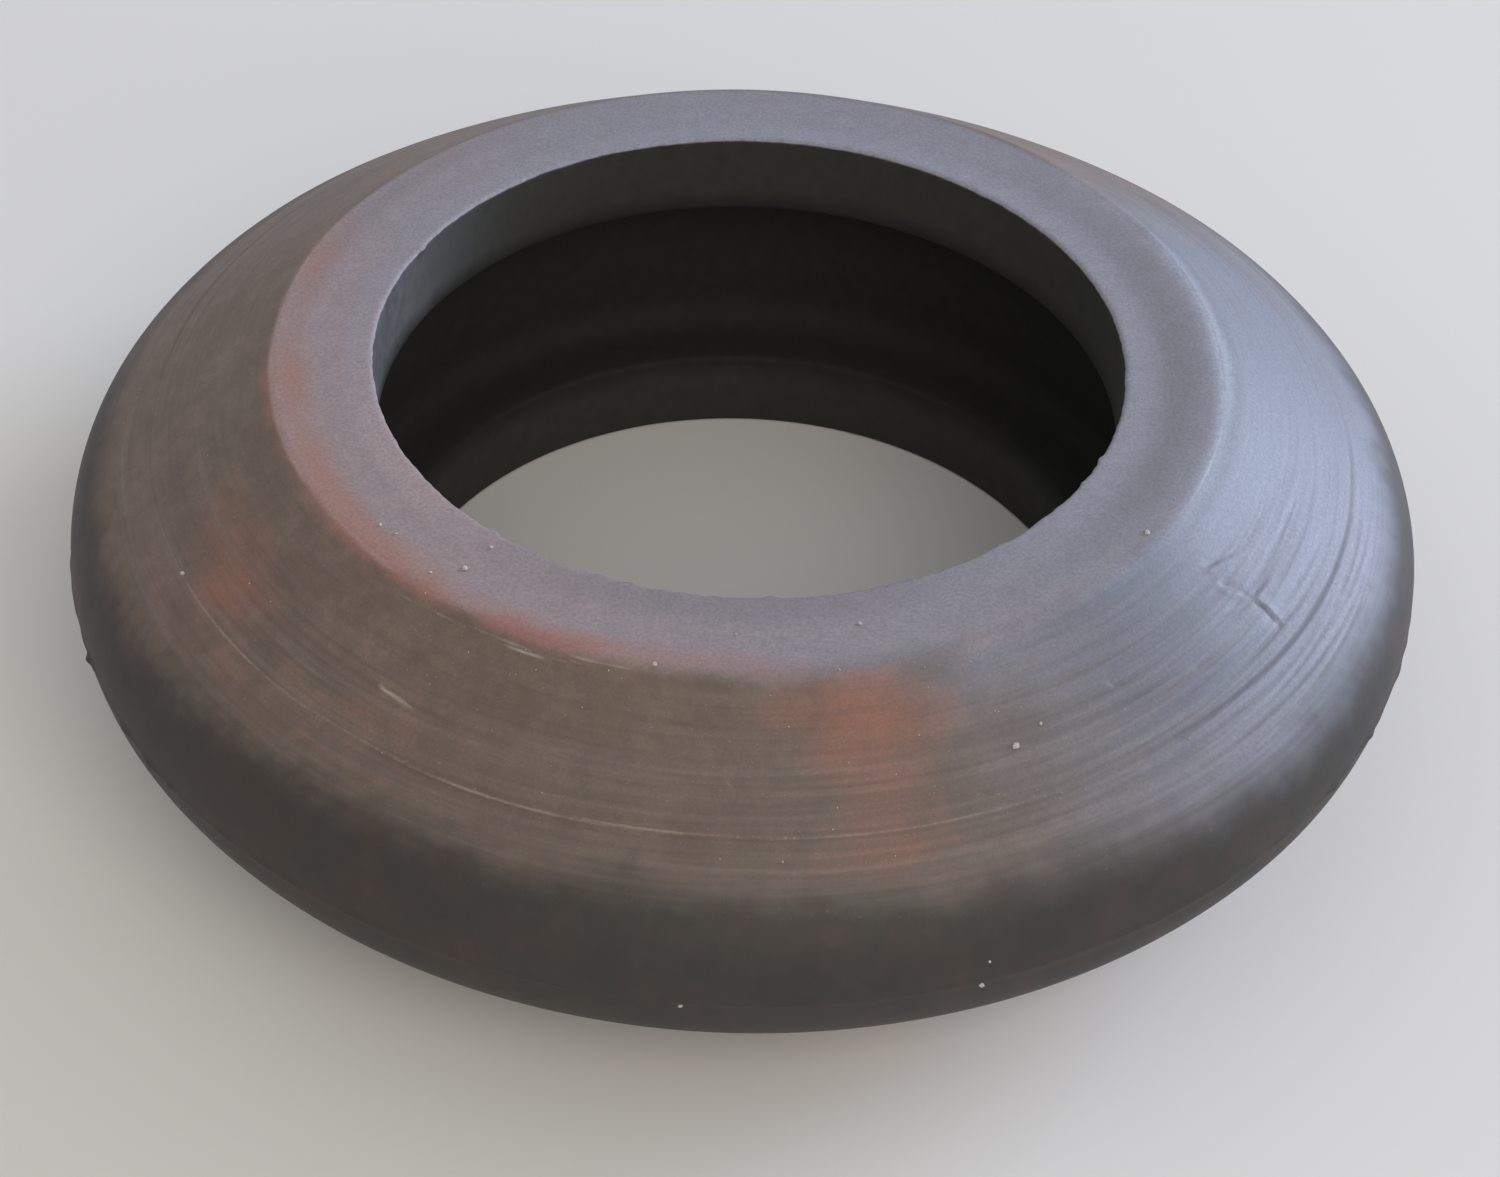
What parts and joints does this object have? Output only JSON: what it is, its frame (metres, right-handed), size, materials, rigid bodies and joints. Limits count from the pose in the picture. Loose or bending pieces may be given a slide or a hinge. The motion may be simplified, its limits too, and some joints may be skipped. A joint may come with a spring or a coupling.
{
  "type": "rubber seal",
  "caption": "Moulded rubber sealing ring, alike at both ends: a flat land round the bore, a conical flank running out to a rounded belt, and a groove inside the bore.",
  "frame": {"origin": "centre of the land that the ring rests on, on the axis of the bore", "axes": "+Z along the bore's axis, upwards from the land that the ring rests on"},
  "size_m": [0.0362, 0.0362, 0.0102],
  "materials": {
    "aged_rubber": "moulded, dull, with a greyish bloom"
  },
  "bodies": {
    "root": {"seal_ring": "aged_rubber"}
  },
  "joints": []
}
